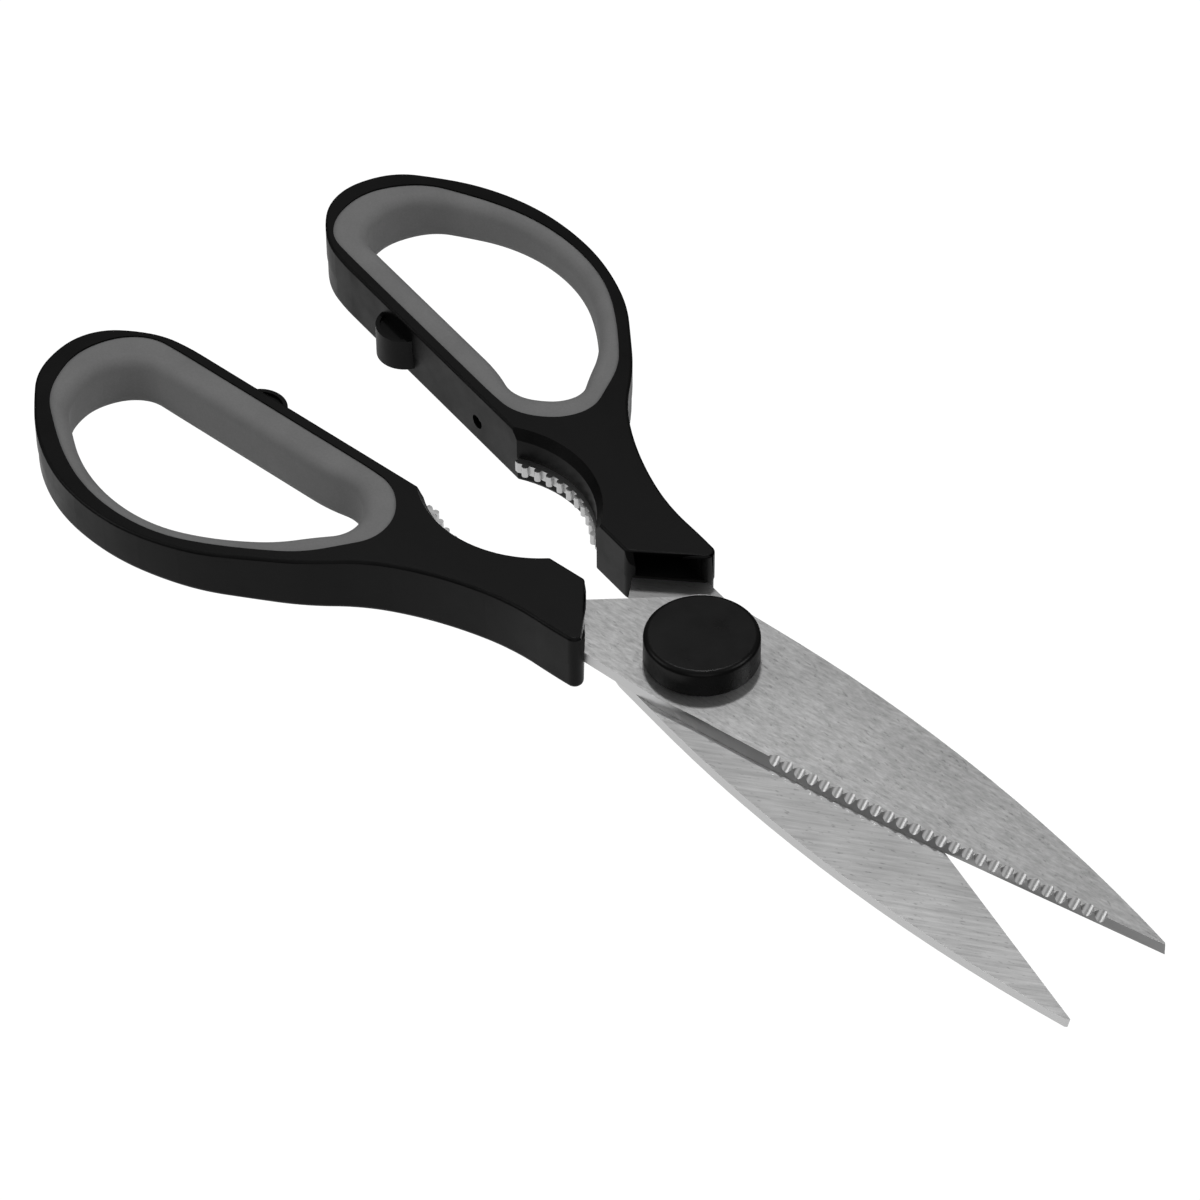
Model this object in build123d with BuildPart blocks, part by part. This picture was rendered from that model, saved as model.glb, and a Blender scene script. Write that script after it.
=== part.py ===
from build123d import *
import os

os.makedirs("parts", exist_ok=True)

# Pose and levels
half_opening_degrees = 6.8  # turn of each half from closed
blade_thickness = 2.0
bolt_head_height = 3.2      # the lower blade's underside
blade_gap = 0.03            # between sliding flat faces
lower_floor = bolt_head_height
interface_level = lower_floor + blade_thickness
upper_floor = interface_level + blade_gap
upper_top = upper_floor + blade_thickness
overrun = 1.0               # how far every cut runs past its body

# Blade outline, closed, measured from the pivot axis
blade_reach = 92.0
tip_depth = 1.1             # cutting tip below the centreline
spine_tip_back = 0.5
spine_tip_depth = 0.5
spine_height = 12.2
spine_start = 4.0
spine_middle_share = 0.525
spine_bow = 3.35            # rise of the spine over its chord
shoulder_back = 4.0
knee_back = 8.5
knee_rise = 11.0
shank_back = 11.0
shank_rise = 8.2
heel_reach = 0.5
heel_depth = 11.8
edge_middle_reach = 46.0
edge_middle_depth = 7.7

# Bevel, thickness and serration
bevel_width = 0.5
bevel_start_reach = 8.0
bevel_tip_share = 0.5
taper_start_reach = 20.0
taper_drop = 0.3
pit_count = 26
pit_first_reach = 23.4
pit_pitch = 2.3
pit_radius = 1.15
pit_slope_degrees = 45      # of the grinding wheel to the face
pit_stand_off = 0.68        # outside the bevel line, where a pit's axis meets the face

# Pivot
journal_radius = 3.0
journal_clearance = 0.05
key_flat = 2.3              # from the axis to each flat of the keyed neck
key_clearance = 0.03
bolt_head_radius = 6.5
bolt_head_chamfer = 0.5
thread_radius = 2.85
thread_end_chamfer = 0.4
thread_height = 3.3
washer_radius = 6.0
washer_bore_radius = 3.2
washer_thickness = 0.5
spring_thickness = 0.35
spring_cone_height = 0.3
nut_flats = 10.0
nut_height = 2.2
nut_bore_radius = thread_radius + journal_clearance

# Cap
cap_radius = 9.2
cap_top_level = 12.0
cap_shoulder = 0.85
cap_wall = 1.1
cap_clearance = 0.1         # above the upper blade, which turns under it
cap_roof = 1.2
cap_boss_radius = 6.9
cap_socket_clearance = 0.05

# Handle outline, closed
handle_top = 10.8
lower_setback = 0.6         # of the lower handle behind the upper one
seam_level = interface_level
handle_middle = handle_top / 2
front_inner_back = 22.6
front_outer_back = 12.4
front_outer_depth = 13.6
front_lean = 0.6            # of the front, backwards above the seam
front_round = 1.6
inner_flat = 1.8            # inner side before the jaw, from the centreline
inner_side = 3.4            # inner side behind the jaw
seam_step = 0.15            # lower half of the moulding inside the upper half
handle_edge_radius = 0.5
handle_base_radius = 0.8

# Outer side of the handle, from the far end to the front, in shares of its reach and width
handle_reach = 125.0
handle_width = 40.9
inner_side_end_share = 0.848
outer_shares = [
    (0.930, 0.127),
    (0.991, 0.296),
    (0.994, 0.522),
    (0.935, 0.764),
    (0.843, 0.940),
    (0.732, 1.000),
    (0.617, 0.939),
    (0.504, 0.755),
    (0.381, 0.485),
    (0.260, 0.357),
]

# Crown of the handle's top and underside, across its width
crown_start = 12.0
crown_drop = 2.0            # at one overrun outside the handle's width
crown_base_drop = 1.1       # of the handle's underside
crown_share = 0.9           # vertical share of a face's normal that makes it part of the top

# Rim of the finger loop: a straight side and a round rest in shares of the same reach and width
loop_side = 5.3
loop_side_shares = [0.552, 0.856]
loop_shares = [
    (0.937, 0.175),
    (0.971, 0.356),
    (0.956, 0.594),
    (0.882, 0.794),
    (0.774, 0.932),
    (0.670, 0.934),
    (0.562, 0.802),
    (0.468, 0.580),
    (0.434, 0.357),
    (0.470, 0.178),
]

# Opening in the grip liner at its narrowest, half way up, in shares likewise
opening_side = 10.3
opening_side_shares = [0.600, 0.842]
opening_shares = [
    (0.906, 0.282),
    (0.931, 0.403),
    (0.926, 0.570),
    (0.864, 0.751),
    (0.772, 0.865),
    (0.683, 0.871),
    (0.592, 0.770),
    (0.514, 0.585),
    (0.476, 0.379),
    (0.500, 0.270),
]

# Grip liner
liner_clearance = 0.04
liner_round_share = 0.84    # of the liner's narrowest wall
liner_sink = 0.3            # below the handle's top
liner_base = 0.6
rib_depth = 1.2
rib_height = 2.6
rib_level = 4.0

# Nutcracker jaw: a toothed hollow in the inner side
jaw_back = 44.7
jaw_rise = 12.1
jaw_wall_radius = 19.3
jaw_rim_width = 1.0
jaw_rim_drop = 1.8
bite_back = 43.9            # toothed hollow in the tang
bite_rise = 12.1
bite_radius = 18.5
tooth_radius = 0.6
tooth_sink = 0.2            # centre of a tooth inside the hollow
tooth_count = 50            # that a full circle would have

# Tang inside the handle, round its outline from the shank's corner
tang_reach = 57.6
tang_depth = 12.6
tang_shares = [
    (0.385, 0.214),
    (0.966, 0.214),
    (0.975, 0.365),
    (1.000, 0.603),
    (0.868, 0.841),
    (0.660, 1.000),
    (0.469, 0.929),
    (0.260, 0.929),
]
tang_clearance = 0.05

# Front pocket
pocket_wall = 2.3
pocket_roof = 0.6
pocket_floor = 0.5          # over the tang
pocket_depth = 7.0

# Thumb stop and core pin hole in the inner side
lug_back = 91.8
lug_radius = 4.8
lug_clearance = 0.05        # from the centreline
lug_top = 8.2
lug_base = 2.2
lug_recess_depth = 0.5
lug_recess_wall = 0.7
core_hole_back = 68.1
core_hole_level = 4.3
core_hole_radius = 1.3
core_hole_depth = 1.5


def level(side, height):
    """Horizontal plane of one half, turned with that half."""
    return Plane.XY.offset(height).rotated((0, 0, side * half_opening_degrees))


def seat(side, height):
    """Horizontal plane of one half's handle and tang."""
    return level(side, height) * Pos(X=(side - 1) / 2 * lower_setback)


def across(side):
    """Vertical plane across one half, through the pivot."""
    return Plane.YZ.rotated((0, 0, side * half_opening_degrees))


def along(side):
    """Vertical plane along one half's centreline."""
    return Plane.XZ.rotated((0, 0, side * half_opening_degrees))


def at(side, point):
    """Point of the upper half's outline, mirrored for the lower half."""
    return (point[0], side * point[1])


def placed(side, shares, reach, depth):
    """Outline points given in shares of a reach back from the pivot and a depth."""
    return [at(side, (-back * reach, -down * depth)) for back, down in shares]


def heading(before, here, after):
    """Direction, at the middle point, of the circle through three points."""
    arriving = here - before
    leaving = after - here
    return (arriving.normalized() * leaving.length + leaving.normalized() * arriving.length).normalized()


def smooth_line(points, first_heading, last_heading):
    """Tangent arcs through the points, two from each point to the next."""
    points = [Vector(*point) for point in points]
    headings = [heading(*three) for three in zip(points, points[1:], points[2:])]
    headings = [first_heading] + headings + [last_heading]
    for start, end, leaving, arriving in zip(points, points[1:], headings, headings[1:]):
        chord = end - start
        turn = 2 - 2 * leaving.dot(arriving)
        advance = chord.dot(leaving + arriving)
        arm = ((advance ** 2 + turn * chord.dot(chord)) ** 0.5 - advance) / turn
        joint = (start + end + (leaving - arriving) * arm) / 2
        first = TangentArc(start, joint, tangent=leaving)
        TangentArc(joint, end, tangent=first % 1)


def edge_depth(x):
    """Depth of the cutting edge under the centreline."""
    slope = (edge_middle_depth - tip_depth) / (blade_reach - edge_middle_reach)
    line = edge_middle_depth + slope * (edge_middle_reach - x)
    if x >= edge_middle_reach:
        return line
    heel_line = edge_middle_depth + slope * (edge_middle_reach - heel_reach)
    share = (edge_middle_reach - x) / (edge_middle_reach - heel_reach)
    return line - (heel_line - heel_depth) * share ** 2


def face_drop(x):
    """How far the ground face has come down at a place along the blade."""
    return taper_drop * max(x - taper_start_reach, 0) / (blade_reach - taper_start_reach)


def blade_section(side, height, inset):
    """Blade with its shank; the inset moves the cutting edge in, and fades out at the heel."""
    def edge(x):
        return at(side, (x, inset - edge_depth(x)))
    spine_tip = (blade_reach - spine_tip_back, -spine_tip_depth)
    tip = (blade_reach, -tip_depth)
    if inset:
        tip = (
            spine_tip[0] + (tip[0] - spine_tip[0]) * bevel_tip_share,
            spine_tip[1] + (tip[1] - spine_tip[1]) * bevel_tip_share,
        )
    chord_x = spine_start + (spine_tip[0] - spine_start) * spine_middle_share
    chord_y = spine_height + (spine_tip[1] - spine_height) * spine_middle_share
    spine = (spine_start, spine_height)
    shoulder = (-shoulder_back, spine_height)
    knee = (-knee_back, knee_rise)
    shank_top = (-shank_back, shank_rise)
    setback = (1 - side) / 2 * lower_setback
    tang = placed(side, tang_shares, tang_reach, tang_depth)
    shank_inner = (tang[0][0] - setback, tang[0][1])
    shank_outer = (tang[-1][0] - setback, tang[-1][1])
    heel = (heel_reach, -heel_depth)
    arc_middle = (bevel_start_reach + edge_middle_reach) / 2
    with BuildSketch(level(side, height)) as section:
        with BuildLine():
            Line(shank_outer, at(side, heel))
            Line(at(side, heel), edge(bevel_start_reach))
            ThreePointArc(edge(bevel_start_reach), edge(arc_middle), edge(edge_middle_reach))
            Line(edge(edge_middle_reach), at(side, tip))
            Line(at(side, tip), at(side, spine_tip))
            ThreePointArc(at(side, spine_tip), at(side, (chord_x, chord_y + spine_bow)), at(side, spine))
            Line(at(side, spine), at(side, shoulder))
            ThreePointArc(at(side, shoulder), at(side, knee), at(side, shank_top))
            Line(at(side, shank_top), shank_inner)
            Line(shank_inner, shank_outer)
        make_face()
    return section.sketch


def tang_section(side, height, clearance):
    """Tang inside the handle."""
    with BuildSketch(seat(side, height)) as section:
        with BuildLine():
            Polyline(placed(side, tang_shares, tang_reach, tang_depth), close=True)
        make_face()
        if clearance:
            offset(amount=clearance, mode=Mode.REPLACE)
    return section.sketch


def toothed_hollow(side, height):
    """What the jaw takes out of the tang: a round hollow without its teeth."""
    with BuildSketch(seat(side, height)) as section:
        with Locations(at(side, (-bite_back, bite_rise))):
            Circle(bite_radius)
            with PolarLocations(bite_radius - tooth_sink, tooth_count):
                Circle(tooth_radius, mode=Mode.SUBTRACT)
    return section.sketch


def grind_blade(side, floor, ground_up):
    """One blade; ground_up is +1 where the bevel is on top and -1 where it is underneath."""
    flat_level = floor if ground_up > 0 else floor + blade_thickness
    ground_level = flat_level + ground_up * blade_thickness
    flat = blade_section(side, flat_level, 0)
    ground = blade_section(side, ground_level, bevel_width)
    loft([flat, ground] if ground_up > 0 else [ground, flat], ruled=True)
    extrude(tang_section(side, floor, 0), amount=blade_thickness)
    extrude(toothed_hollow(side, floor), amount=blade_thickness, mode=Mode.SUBTRACT)
    thin_end = (blade_reach, ground_level - ground_up * taper_drop)
    beyond = ground_level + ground_up * overrun
    with BuildSketch(along(side)) as wedge:
        with BuildLine():
            Polyline(
                (taper_start_reach, ground_level),
                thin_end,
                (blade_reach + overrun, thin_end[1]),
                (blade_reach + overrun, beyond),
                (taper_start_reach, beyond),
                close=True,
            )
        make_face()
    extrude(wedge.sketch, amount=spine_height + overrun, both=True, mode=Mode.SUBTRACT)


def cut_pits(side):
    """Round pits ground into the bevel of the upper blade by a slanting wheel."""
    for pit in range(pit_count):
        x = pit_first_reach + pit * pit_pitch
        y = bevel_width - pit_stand_off - edge_depth(x)
        slant = Rot(X=side * (pit_slope_degrees - 90))
        with Locations(level(side, upper_top - face_drop(x)) * Pos(x, side * y, 0) * slant):
            Cylinder(pit_radius, 2 * (blade_thickness + overrun), mode=Mode.SUBTRACT)


def handle_section(side, height, inset):
    """Outer outline of one handle with the hollow of the jaw."""
    half_front = (jaw_wall_radius ** 2 - (jaw_rise + inner_flat) ** 2) ** 0.5
    half_back = (jaw_wall_radius ** 2 - (jaw_rise + inner_side) ** 2) ** 0.5
    front_inner = at(side, (-front_inner_back, -inner_flat))
    front_outer = at(side, (-front_outer_back, -front_outer_depth))
    jaw_front = at(side, (half_front - jaw_back, -inner_flat))
    jaw_deep = at(side, (-jaw_back, jaw_rise - jaw_wall_radius))
    jaw_end = at(side, (-jaw_back - half_back, -inner_side))
    side_end = at(side, (-inner_side_end_share * handle_reach, -inner_side))
    outer = [side_end] + placed(side, outer_shares, handle_reach, handle_width) + [front_outer]
    last_chord = Vector(*outer[-1]) - Vector(*outer[-2])
    with BuildSketch(seat(side, height)) as section:
        with BuildLine():
            Line(front_inner, jaw_front)
            ThreePointArc(jaw_front, jaw_deep, jaw_end)
            Line(jaw_end, side_end)
            smooth_line(outer, Vector(-1, 0), last_chord.normalized())
            Line(front_outer, front_inner)
        make_face()
        fronts = [section.vertices().sort_by_distance(corner)[0] for corner in (front_inner, front_outer)]
        fillet(fronts, radius=front_round)
        if inset:
            offset(amount=-inset, mode=Mode.REPLACE)
    return section.sketch


def ring_section(side, height, straight, straight_shares, shares, inset=0):
    """Closed outline of a finger loop: a straight side, and a smooth line round the rest."""
    front, back = [at(side, (-share * handle_reach, -straight)) for share in straight_shares]
    points = [back] + placed(side, shares, handle_reach, handle_width) + [front]
    with BuildSketch(seat(side, height)) as section:
        with BuildLine():
            Line(front, back)
            smooth_line(points, Vector(-1, 0), Vector(-1, 0))
        make_face()
        if inset:
            offset(amount=-inset, mode=Mode.REPLACE)
    return section.sketch


def loop_section(side, height, inset):
    """Rim of the finger loop."""
    return ring_section(side, height, loop_side, loop_side_shares, loop_shares, inset)


def cut_crown(side, outward, face, drop):
    """Rounds the top, or the underside where outward is -1, off to the outer side along a shallow arc."""
    start = (-side * crown_start, face)
    end = (-side * (handle_width + overrun), face - outward * drop)
    clear = face + outward * overrun
    with BuildSketch(across(side)) as shallow:
        with BuildLine():
            TangentArc(start, end, tangent=(-side, 0))
            Polyline(end, (end[0], clear), (start[0], clear), start)
        make_face()
    extrude(shallow.sketch, amount=handle_reach + lower_setback + overrun, both=True, mode=Mode.SUBTRACT)


def rim_edges(body, outward):
    """Edges between the walls and the top, or the underside where outward is -1."""
    ends = [face for face in body.faces() if outward * face.normal_at(face.center()).Z > crown_share]
    ends = [face for face in ends if outward * (face.center().Z - handle_middle) > 0]
    edges = [edge for face in ends for edge in face.edges()]
    return [edge for edge in edges if sum(edge.is_same(other) for other in edges) == 1]


def mould_handle(body, side, tang_floor):
    """One handle with its loop, front pocket, jaw hollow, thumb stop and tang slot."""
    extrude(handle_section(side, 0, seam_step), amount=seam_level)
    cut_crown(side, -1, 0, crown_base_drop)
    fillet(rim_edges(body, -1), radius=handle_base_radius)
    extrude(handle_section(side, seam_level, 0), amount=handle_top - seam_level)
    cut_crown(side, 1, handle_top, crown_drop)
    fillet(rim_edges(body, 1), radius=handle_edge_radius)

    # Slanted rim of the jaw hollow
    rim = seat(side, handle_top - jaw_rim_drop / 2)
    with Locations(rim * Pos(-jaw_back, side * jaw_rise, 0)):
        Cone(jaw_wall_radius, jaw_wall_radius + jaw_rim_width, jaw_rim_drop, mode=Mode.SUBTRACT)

    # Thumb stop
    lug_centre = at(side, (-lug_back, -lug_clearance - lug_radius))
    with Locations(seat(side, (lug_base + lug_top) / 2) * Pos(*lug_centre)):
        Cylinder(lug_radius, lug_top - lug_base)
    with BuildSketch(seat(side, lug_top)) as recess:
        with Locations(lug_centre):
            Circle(lug_radius - lug_recess_wall)
        with Locations(at(side, (-lug_back, -inner_side - lug_radius))):
            Rectangle(2 * lug_radius, 2 * lug_radius, mode=Mode.SUBTRACT)
    extrude(recess.sketch, amount=-lug_recess_depth, mode=Mode.SUBTRACT)

    # Finger loop, with the rib that locks the liner
    extrude(loop_section(side, 0, 0), amount=handle_top, mode=Mode.SUBTRACT)
    rib = loop_section(side, rib_level, 0) - loop_section(side, rib_level, rib_depth)
    extrude(rib, amount=rib_height)

    # Leaning front, and the pocket that opens in it towards the pivot
    inner = Vector(*at(side, (-front_inner_back, -inner_flat)))
    outer = Vector(*at(side, (-front_outer_back, -front_outer_depth)))
    row = (outer - inner).normalized()
    ahead = row.rotate(Axis.Z, side * 90)
    front_frame = Plane(origin=inner, x_dir=ahead, z_dir=row)
    with BuildSketch(seat(side, 0) * front_frame) as lean:
        with BuildLine():
            Polyline(
                (0, side * seam_level),
                (-front_lean, side * handle_top),
                (overrun, side * handle_top),
                close=True,
            )
        make_face()
    extrude(lean.sketch, amount=(outer - inner).length, mode=Mode.SUBTRACT)
    pocket_level = tang_floor + blade_thickness + pocket_floor
    mouth = [inner + row * pocket_wall + ahead * overrun, outer - row * pocket_wall + ahead * overrun]
    back = [corner - Vector(pocket_depth + overrun, 0) for corner in mouth]
    with BuildSketch(seat(side, pocket_level)) as pocket:
        with BuildLine():
            Polyline(mouth + back[::-1], close=True)
        make_face()
    extrude(pocket.sketch, amount=handle_top - pocket_roof - pocket_level, mode=Mode.SUBTRACT)

    # Slot for the tang and the core pin's hole
    extrude(tang_section(side, tang_floor, tang_clearance), amount=blade_thickness, mode=Mode.SUBTRACT)
    core_hole = seat(side, core_hole_level) * Pos(-core_hole_back, side * -inner_side, 0) * Rot(X=90)
    with Locations(core_hole):
        Cylinder(core_hole_radius, 2 * core_hole_depth, mode=Mode.SUBTRACT)


def mould_liner(body, side):
    """Soft ring in a finger loop, rounded towards the fingers and grooved for the rib."""
    extrude(loop_section(side, liner_base, liner_clearance), amount=handle_top - liner_sink - liner_base)
    cut_crown(side, 1, handle_top - liner_sink, crown_drop)
    cut_crown(side, -1, liner_base, crown_drop)
    opening = ring_section(side, 0, opening_side, opening_side_shares, opening_shares)
    extrude(opening, amount=handle_top, mode=Mode.SUBTRACT)
    rim_depth, opening_depth = [max(down for back, down in shares) for shares in (loop_shares, opening_shares)]
    narrowest = (rim_depth - opening_depth) * handle_width
    mouths = body.edges(Select.LAST).filter_by(Axis.Z, reverse=True)
    fillet(mouths, radius=liner_round_share * narrowest)
    groove_level = rib_level - liner_clearance
    groove_floor = loop_section(side, groove_level, rib_depth + liner_clearance)
    groove = loop_section(side, groove_level, 0) - groove_floor
    extrude(groove, amount=rib_height + 2 * liner_clearance, mode=Mode.SUBTRACT)


def keyed_section(height, clearance):
    """Round neck with two flats that keeps the bolt from turning in the lower blade."""
    with BuildSketch(level(-1, height)) as section:
        Circle(journal_radius + clearance)
        Rectangle(2 * journal_radius, 2 * (key_flat + clearance), mode=Mode.INTERSECT)
    return section.sketch


def disc(height, radius, hole=0):
    """Round section on the pivot axis, with a hole where one is given."""
    with BuildSketch(Plane.XY.offset(height)) as section:
        Circle(radius)
        if hole:
            Circle(hole, mode=Mode.SUBTRACT)
    return section.sketch


def hexagon(height, flats):
    """Hexagonal section on the pivot axis."""
    with BuildSketch(Plane.XY.offset(height)) as section:
        RegularPolygon(flats / 2, 6, major_radius=False)
    return section.sketch


with BuildPart() as lower_blade:
    grind_blade(-1, lower_floor, -1)
    extrude(keyed_section(lower_floor, key_clearance), amount=blade_thickness, mode=Mode.SUBTRACT)

with BuildPart() as upper_blade:
    grind_blade(1, upper_floor, 1)
    cut_pits(1)
    bore = disc(upper_floor, journal_radius + journal_clearance)
    extrude(bore, amount=blade_thickness, mode=Mode.SUBTRACT)

with BuildPart() as lower_handle:
    mould_handle(lower_handle, -1, lower_floor)

with BuildPart() as upper_handle:
    mould_handle(upper_handle, 1, upper_floor)

with BuildPart() as lower_grip_liner:
    mould_liner(lower_grip_liner, -1)

with BuildPart() as upper_grip_liner:
    mould_liner(upper_grip_liner, 1)

with BuildPart() as pivot_bolt:
    extrude(disc(0, bolt_head_radius), amount=bolt_head_height)
    chamfer(pivot_bolt.faces().sort_by(Axis.Z)[0].edges(), length=bolt_head_chamfer)
    extrude(keyed_section(lower_floor, 0), amount=blade_thickness)
    extrude(disc(interface_level, journal_radius), amount=upper_top - interface_level)
    extrude(disc(upper_top, thread_radius), amount=thread_height)
    chamfer(pivot_bolt.faces().sort_by(Axis.Z)[-1].edges(), length=thread_end_chamfer)

with BuildPart() as thrust_washer:
    extrude(disc(upper_top, washer_radius, washer_bore_radius), amount=washer_thickness)

spring_level = upper_top + washer_thickness
with BuildPart() as spring_washer:
    with BuildSketch(Plane.XZ) as cone_wall:
        with BuildLine():
            Polyline(
                (washer_bore_radius, spring_level + spring_cone_height),
                (washer_radius, spring_level),
                (washer_radius, spring_level + spring_thickness),
                (washer_bore_radius, spring_level + spring_cone_height + spring_thickness),
                close=True,
            )
        make_face()
    revolve(axis=Axis.Z)

nut_level = spring_level + spring_cone_height + spring_thickness
with BuildPart() as pivot_nut:
    extrude(hexagon(nut_level, nut_flats), amount=nut_height)
    with Locations((0, 0, nut_level + nut_height / 2)):
        Cylinder(nut_bore_radius, nut_height, mode=Mode.SUBTRACT)

cap_base_level = upper_top + cap_clearance
roof_level = cap_top_level - cap_roof
with BuildPart() as pivot_cap:
    extrude(disc(cap_base_level, cap_radius), amount=cap_top_level - cap_base_level)
    fillet(pivot_cap.faces().sort_by(Axis.Z)[-1].edges(), radius=cap_shoulder)
    cavity_radius = cap_radius - cap_wall
    extrude(disc(cap_base_level, cavity_radius), amount=nut_level - cap_base_level, mode=Mode.SUBTRACT)
    gap = disc(nut_level, cavity_radius, cap_boss_radius)
    extrude(gap, amount=roof_level - nut_level, mode=Mode.SUBTRACT)
    socket = hexagon(nut_level, nut_flats + 2 * cap_socket_clearance)
    extrude(socket, amount=roof_level - nut_level, mode=Mode.SUBTRACT)

pieces = {
    "lower_blade": lower_blade,
    "upper_blade": upper_blade,
    "lower_handle": lower_handle,
    "upper_handle": upper_handle,
    "lower_grip_liner": lower_grip_liner,
    "upper_grip_liner": upper_grip_liner,
    "pivot_bolt": pivot_bolt,
    "thrust_washer": thrust_washer,
    "spring_washer": spring_washer,
    "pivot_nut": pivot_nut,
    "pivot_cap": pivot_cap,
}
for name, piece in pieces.items():
    piece.part.label = name
    export_step(piece.part, f"parts/{name}.step")
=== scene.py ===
import bpy
import math
from mathutils import Matrix, Vector

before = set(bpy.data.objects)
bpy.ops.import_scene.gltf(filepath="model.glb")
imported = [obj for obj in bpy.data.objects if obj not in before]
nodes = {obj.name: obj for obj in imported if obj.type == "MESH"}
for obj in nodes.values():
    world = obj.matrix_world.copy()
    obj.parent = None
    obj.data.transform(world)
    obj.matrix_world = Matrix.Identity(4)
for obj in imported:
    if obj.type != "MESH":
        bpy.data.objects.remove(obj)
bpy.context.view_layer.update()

MM = 0.001

# Blender's noise mostly lies between these two values
NOISE_LOW = 0.3
NOISE_HIGH = 0.7

# Just over 1, so that the backdrop is a clean white
BACKDROP_WHITE = 1.05


# Node helpers

def new_material(name):
    material = bpy.data.materials.new(name)
    material.use_nodes = True
    tree = material.node_tree
    shader = tree.nodes["Principled BSDF"]
    return material, tree, shader


def node(tree, kind, **values):
    made = tree.nodes.new(kind)
    for key, value in values.items():
        setattr(made, key, value)
    return made


def coords(tree, turn=0.0, squeeze=1.0):
    """Object coordinates in metres, turned by degrees about Z; a low squeeze lengthens patterns along X."""
    place = node(tree, "ShaderNodeTexCoord")
    turned = node(tree, "ShaderNodeMapping", vector_type="TEXTURE")
    turned.inputs["Rotation"].default_value[2] = math.radians(turn)
    scaled = node(tree, "ShaderNodeMapping", vector_type="POINT")
    scaled.inputs["Scale"].default_value = (squeeze, 1.0, 1.0)
    tree.links.new(place.outputs["Object"], turned.inputs["Vector"])
    tree.links.new(turned.outputs["Vector"], scaled.inputs["Vector"])
    return scaled.outputs["Vector"]


def noise(tree, vector, scale, detail, rough):
    """Noise with its scale per metre."""
    made = node(tree, "ShaderNodeTexNoise")
    made.inputs["Scale"].default_value = scale
    made.inputs["Detail"].default_value = detail
    made.inputs["Roughness"].default_value = rough
    tree.links.new(vector, made.inputs["Vector"])
    return made.outputs["Fac"]


def ramp(tree, value, stops):
    """Grey ramp through pairs of a place and a shade."""
    made = node(tree, "ShaderNodeValToRGB")
    elements = made.color_ramp.elements
    while len(elements) < len(stops):
        elements.new(0.5)
    for element, (place, shade) in zip(elements, stops):
        element.position = place
        element.color = (shade, shade, shade, 1.0)
    tree.links.new(value, made.inputs["Fac"])
    return made.outputs["Color"]


def to_range(tree, value, low, high, from_low=NOISE_LOW, from_high=NOISE_HIGH):
    """The value carried from its own span, that of noise unless given, to low and high."""
    made = node(tree, "ShaderNodeMapRange")
    made.inputs["From Min"].default_value = from_low
    made.inputs["From Max"].default_value = from_high
    made.inputs["To Min"].default_value = low
    made.inputs["To Max"].default_value = high
    tree.links.new(value, made.inputs["Value"])
    return made.outputs["Result"]


def combine(tree, operation, *terms):
    """One math node on sockets and plain numbers."""
    made = node(tree, "ShaderNodeMath", operation=operation)
    for socket, term in zip(made.inputs, terms):
        if isinstance(term, (int, float)):
            socket.default_value = term
        else:
            tree.links.new(term, socket)
    return made.outputs["Value"]


def where_flat(tree, value, ground, flat):
    """The value on flat faces, and the ground value on all others."""
    change = combine(tree, "MULTIPLY", combine(tree, "SUBTRACT", value, ground), flat)
    return combine(tree, "ADD", change, ground)


def paint_grey(tree, shader, tone):
    """Base colour with the same tone in all three channels."""
    colour = node(tree, "ShaderNodeCombineColor")
    for channel in ("Red", "Green", "Blue"):
        tree.links.new(tone, colour.inputs[channel])
    tree.links.new(colour.outputs["Color"], shader.inputs["Base Color"])


def add_bump(tree, shader, height, strength, distance):
    made = node(tree, "ShaderNodeBump")
    made.inputs["Strength"].default_value = strength
    made.inputs["Distance"].default_value = distance
    tree.links.new(height, made.inputs["Height"])
    tree.links.new(made.outputs["Normal"], shader.inputs["Normal"])


# Materials

# Edges, bevels and pits are ground, so they are smoother than the brushed plate; their lighter shade is a
# painted highlight for the brighter reflection their sides show
GROUND_HIGHLIGHT_SHADE = 0.56
GROUND_ROUGHNESS = 0.36

# A face counts as ground below the first upright share of its normal, and as flat above the second
GROUND_UPRIGHT = 0.90
FLAT_UPRIGHT = 0.98

# Degrees from the streaks to the steel's short marks, and from X to the plastic's rub marks
MARK_TURN = 12.0
RUB_TURN = 30.0

# How much lighter a rub mark is, as a share of the plastic's own shade
RUB_SHARE = 0.35


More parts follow.
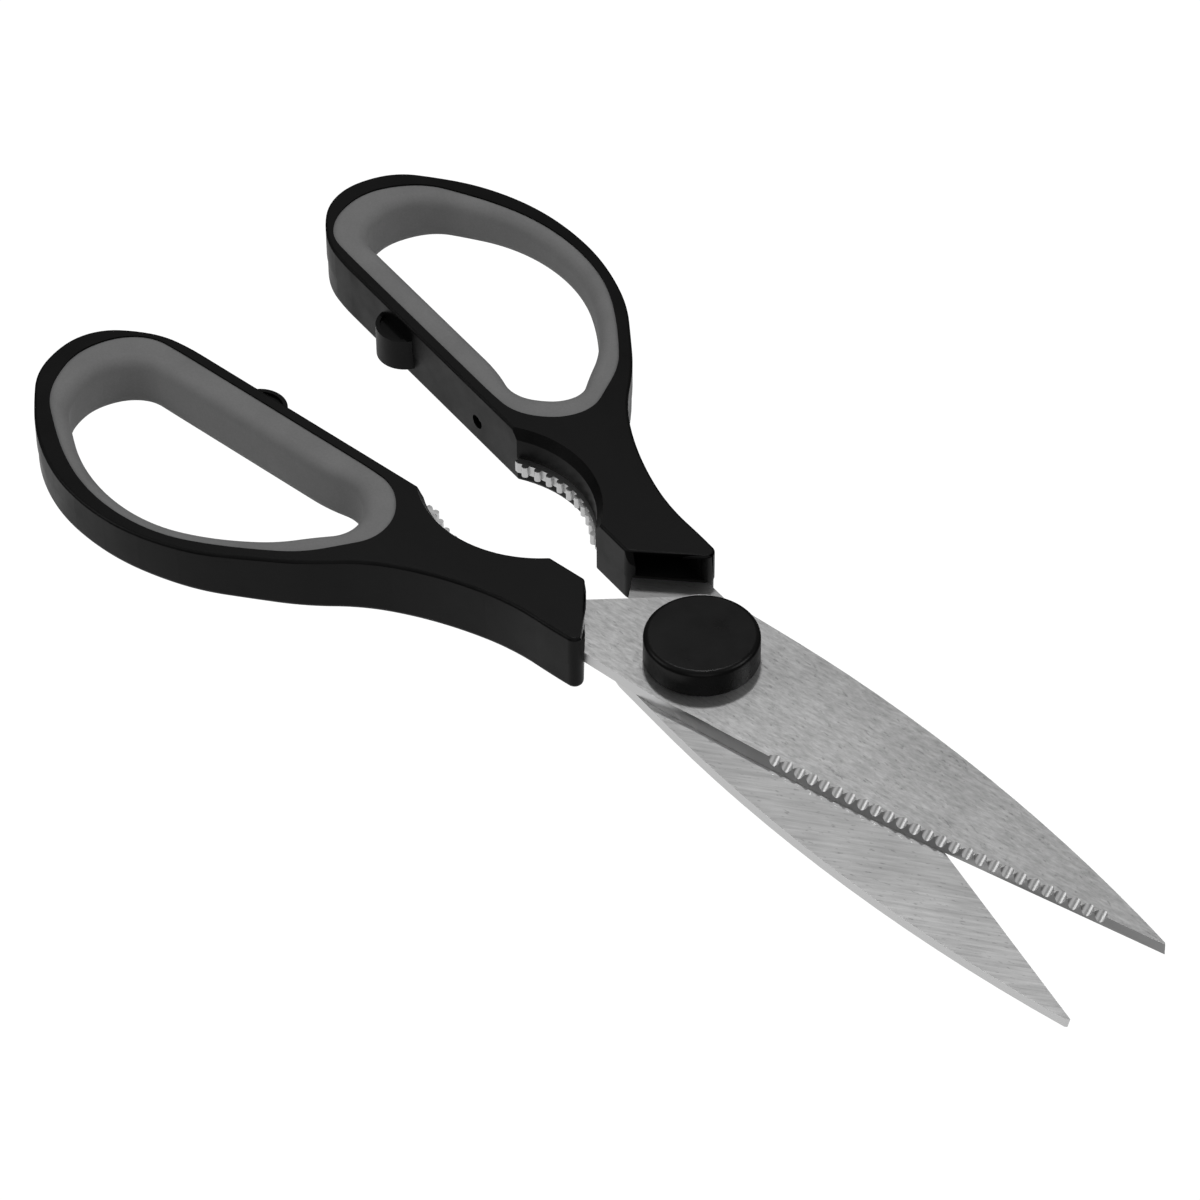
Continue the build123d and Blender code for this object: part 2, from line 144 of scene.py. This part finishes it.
def brushed_steel(name, brush_turn, streak_length, shade=0.5, contrast=0.2, roughness=0.4):
    """Brushed plate with streaks, blotches and dark marks, and plain ground edges, bevels and pits in a
    lighter shade that is a painted highlight.
    """
    material, tree, shader = new_material(name)
    shader.inputs["Metallic"].default_value = 1.0
    shader.inputs["Anisotropic"].default_value = 0.4

    # Streaks of two widths, half of each, and a wash of blotches
    along = coords(tree, brush_turn, squeeze=1 / streak_length)
    fine = noise(tree, along, scale=3200.0, detail=3.0, rough=0.7)
    coarse = noise(tree, along, scale=1500.0, detail=2.0, rough=0.5)
    blotch = noise(tree, coords(tree), scale=110.0, detail=4.0, rough=0.6)
    half_fine = combine(tree, "MULTIPLY", fine, 0.5)
    half_coarse = combine(tree, "MULTIPLY", coarse, 0.5)
    streaks = combine(tree, "ADD", half_fine, half_coarse)
    tone = to_range(tree, streaks, shade * (1 - contrast), shade * (1 + contrast))
    tone = combine(tree, "MULTIPLY", tone, to_range(tree, blotch, 0.92, 1.06))

    # Short dark marks that cross the streaks at a small angle
    across = coords(tree, brush_turn - MARK_TURN, squeeze=0.35)
    marks = noise(tree, across, scale=1900.0, detail=2.0, rough=0.6)
    tone = combine(tree, "MULTIPLY", tone, ramp(tree, marks, [(0.30, 0.72), (0.37, 1.0)]))

    # The streaks colour and roughen the flat faces only
    geometry = node(tree, "ShaderNodeNewGeometry")
    split = node(tree, "ShaderNodeSeparateXYZ")
    tree.links.new(geometry.outputs["True Normal"], split.inputs["Vector"])
    upright = combine(tree, "ABSOLUTE", split.outputs["Z"])
    flat = to_range(tree, upright, 0.0, 1.0, GROUND_UPRIGHT, FLAT_UPRIGHT)
    # Ground faces take a lighter shade than the plate: a painted highlight
    paint_grey(tree, shader, where_flat(tree, tone, GROUND_HIGHLIGHT_SHADE, flat))
    matt = to_range(tree, streaks, roughness + 0.05, roughness - 0.05)
    tree.links.new(where_flat(tree, matt, GROUND_ROUGHNESS, flat), shader.inputs["Roughness"])
    add_bump(tree, shader, streaks, strength=0.3, distance=0.02 * MM)

    # The brushing's direction, for the stretched highlights
    direction = node(tree, "ShaderNodeCombineXYZ")
    direction.inputs["X"].default_value = math.cos(math.radians(brush_turn))
    direction.inputs["Y"].default_value = math.sin(math.radians(brush_turn))
    tree.links.new(direction.outputs["Vector"], shader.inputs["Tangent"])
    return material


def moulded_plastic(name, shade, roughness, specular):
    """Dark moulded plastic with a fine grain, faint clouds and a few short rub marks."""
    material, tree, shader = new_material(name)
    shader.inputs["Specular IOR Level"].default_value = specular
    grain = noise(tree, coords(tree), scale=3500.0, detail=2.0, rough=0.6)
    cloud = noise(tree, coords(tree), scale=160.0, detail=4.0, rough=0.6)
    marks = noise(tree, coords(tree, RUB_TURN, squeeze=0.15), scale=1400.0, detail=2.0, rough=0.5)
    rubs = ramp(tree, marks, [(0.66, 0.0), (0.72, 1.0)])
    tone = to_range(tree, cloud, shade * 0.8, shade * 1.25)
    tone = combine(tree, "ADD", tone, combine(tree, "MULTIPLY", rubs, shade * RUB_SHARE))
    paint_grey(tree, shader, tone)
    matt = to_range(tree, cloud, roughness - 0.05, roughness + 0.06)
    tree.links.new(matt, shader.inputs["Roughness"])
    add_bump(tree, shader, grain, strength=0.12, distance=0.06 * MM)
    return material


def soft_grip(name, shade):
    """Soft-touch rubber: matt, with a powdery grain and a little sheen."""
    material, tree, shader = new_material(name)
    shader.inputs["Specular IOR Level"].default_value = 0.25
    shader.inputs["Sheen Weight"].default_value = 0.08
    grain = noise(tree, coords(tree), scale=2600.0, detail=3.0, rough=0.6)
    cloud = noise(tree, coords(tree), scale=120.0, detail=3.0, rough=0.55)
    tone = to_range(tree, cloud, shade * 0.93, shade * 1.07)
    tone = combine(tree, "MULTIPLY", tone, to_range(tree, grain, 0.95, 1.05))
    paint_grey(tree, shader, tone)
    tree.links.new(to_range(tree, cloud, 0.62, 0.72), shader.inputs["Roughness"])
    add_bump(tree, shader, grain, strength=0.15, distance=0.05 * MM)
    return material


def dress(material, *names):
    for name in names:
        slots = nodes[name].data.materials
        slots.clear()
        slots.append(material)


upper_steel = brushed_steel("upper_blade_steel", brush_turn=9.0, streak_length=3.6, contrast=0.28)
lower_steel = brushed_steel("lower_blade_steel", brush_turn=36.0, streak_length=16.0)
pivot_steel = brushed_steel("pivot_steel", brush_turn=0.0, streak_length=4.0)
handle_plastic = moulded_plastic("handle_plastic", shade=0.0035, roughness=0.42, specular=0.13)
cap_plastic = moulded_plastic("cap_plastic", shade=0.004, roughness=0.30, specular=0.14)
grip_rubber = soft_grip("grip_rubber", shade=0.21)
dress(upper_steel, "upper_blade")
dress(lower_steel, "lower_blade")
dress(pivot_steel, "pivot_bolt", "thrust_washer", "spring_washer", "pivot_nut")
dress(handle_plastic, "upper_handle", "lower_handle")
dress(cap_plastic, "pivot_cap")
dress(grip_rubber, "upper_grip_liner", "lower_grip_liner")


# Camera at the photograph's angle

# The azimuth counts from -Y towards +X
AZIMUTH = math.radians(48.94)
ELEVATION = math.radians(43.12)
ROLL = math.radians(-0.32)
TARGET = Vector((-25.83, 1.54, 0.0)) * MM
DISTANCE = 907.9 * MM

level = Vector((math.sin(AZIMUTH), -math.cos(AZIMUTH), 0.0))
back = level * math.cos(ELEVATION) + Vector((0.0, 0.0, math.sin(ELEVATION)))
right = Vector((math.cos(AZIMUTH), math.sin(AZIMUTH), 0.0))
up = back.cross(right)
x_axis = right * math.cos(ROLL) + up * math.sin(ROLL)
y_axis = up * math.cos(ROLL) - right * math.sin(ROLL)
turn = Matrix((x_axis, y_axis, back)).transposed().to_4x4()

camera_data = bpy.data.cameras.new("camera")
camera_data.sensor_fit = "HORIZONTAL"
camera_data.sensor_width = 36.0
camera_data.lens = 171.0
camera_data.clip_start = 0.05
camera_data.clip_end = 20.0
camera = bpy.data.objects.new("camera", camera_data)
camera.matrix_world = Matrix.Translation(TARGET + back * DISTANCE) @ turn
bpy.context.scene.collection.objects.link(camera)
bpy.context.scene.camera = camera


# Floor, which the camera sees white and which throws back pale light

FLOOR_SHADE = 0.82
FLOOR_REACH = 3.0
FLOOR_HEIGHT = -0.2 * MM

floor_material = bpy.data.materials.new("floor")
floor_material.use_nodes = True
tree = floor_material.node_tree
tree.nodes.clear()
pale = node(tree, "ShaderNodeBsdfDiffuse")
pale.inputs["Color"].default_value = (FLOOR_SHADE, FLOOR_SHADE, FLOOR_SHADE, 1.0)
white = node(tree, "ShaderNodeEmission")
white.inputs["Color"].default_value = (1.0, 1.0, 1.0, 1.0)
white.inputs["Strength"].default_value = BACKDROP_WHITE
path = node(tree, "ShaderNodeLightPath")
mix = node(tree, "ShaderNodeMixShader")
out = node(tree, "ShaderNodeOutputMaterial")
tree.links.new(path.outputs["Is Camera Ray"], mix.inputs["Fac"])
tree.links.new(pale.outputs["BSDF"], mix.inputs[1])
tree.links.new(white.outputs["Emission"], mix.inputs[2])
tree.links.new(mix.outputs["Shader"], out.inputs["Surface"])

floor_mesh = bpy.data.meshes.new("floor")
corners = []
for x_side, y_side in ((-1, -1), (1, -1), (1, 1), (-1, 1)):
    corners.append((x_side * FLOOR_REACH, y_side * FLOOR_REACH, FLOOR_HEIGHT))
floor_mesh.from_pydata(corners, [], [(0, 1, 2, 3)])
floor_mesh.materials.append(floor_material)
floor = bpy.data.objects.new("floor", floor_mesh)
floor.visible_glossy = False
bpy.context.scene.collection.objects.link(floor)


# Surround, which the camera sees white: it is bright below, dark at the horizon and pale overhead

# Pairs of a place, from 0 straight down to 1 straight up, and a shade
SURROUND_SHADES = [
    (0.0, 1.0),
    (0.20, 1.0),
    (0.28, 0.02),
    (0.50, 0.02),
    (0.62, 0.14),
    (0.86, 0.18),
    (0.95, 0.45),
    (1.0, 0.6),
]

world = bpy.data.worlds.new("surround")
bpy.context.scene.world = world
world.use_nodes = True
tree = world.node_tree
tree.nodes.clear()
place = node(tree, "ShaderNodeTexCoord")
split = node(tree, "ShaderNodeSeparateXYZ")
tree.links.new(place.outputs["Generated"], split.inputs["Vector"])
height = to_range(tree, split.outputs["Z"], 0.0, 1.0, -1.0, 1.0)
shades = ramp(tree, height, SURROUND_SHADES)
path = node(tree, "ShaderNodeLightPath")
shown = node(tree, "ShaderNodeMix", data_type="RGBA")
tree.links.new(path.outputs["Is Camera Ray"], shown.inputs["Factor"])
tree.links.new(shades, shown.inputs["A"])
shown.inputs["B"].default_value = (BACKDROP_WHITE, BACKDROP_WHITE, BACKDROP_WHITE, 1.0)
background = node(tree, "ShaderNodeBackground")
background.inputs["Strength"].default_value = 1.0
tree.links.new(shown.outputs["Result"], background.inputs["Color"])
out = node(tree, "ShaderNodeOutputWorld")
tree.links.new(background.outputs["Background"], out.inputs["Surface"])


# Lights: a small key high behind the object, and three wide fills

KEY_ELEVATION = math.radians(59.0)


def soft_box(name, direction, distance, size, power):
    """Square area light that faces the pivot, in metres and watts."""
    data = bpy.data.lights.new(name, "AREA")
    data.size = size
    data.energy = power
    lamp = bpy.data.objects.new(name, data)
    toward = Vector(direction).normalized()
    lamp.location = toward * distance
    lamp.rotation_euler = toward.to_track_quat("Z", "Y").to_euler()
    bpy.context.scene.collection.objects.link(lamp)


key = Vector((0.0, 0.0, math.sin(KEY_ELEVATION))) - level * math.cos(KEY_ELEVATION)
soft_box("key", key, distance=1.2, size=0.10, power=1.6)
soft_box("left_fill", (-0.55, -0.68, 0.5), distance=1.4, size=0.75, power=3.5)
soft_box("front_fill", (0.75, -0.66, 0.4), distance=1.4, size=1.2, power=3.0)
soft_box("right_fill", (1.0, 0.9, 1.1), distance=1.4, size=0.6, power=4.0)

bpy.context.scene.view_settings.view_transform = "Standard"
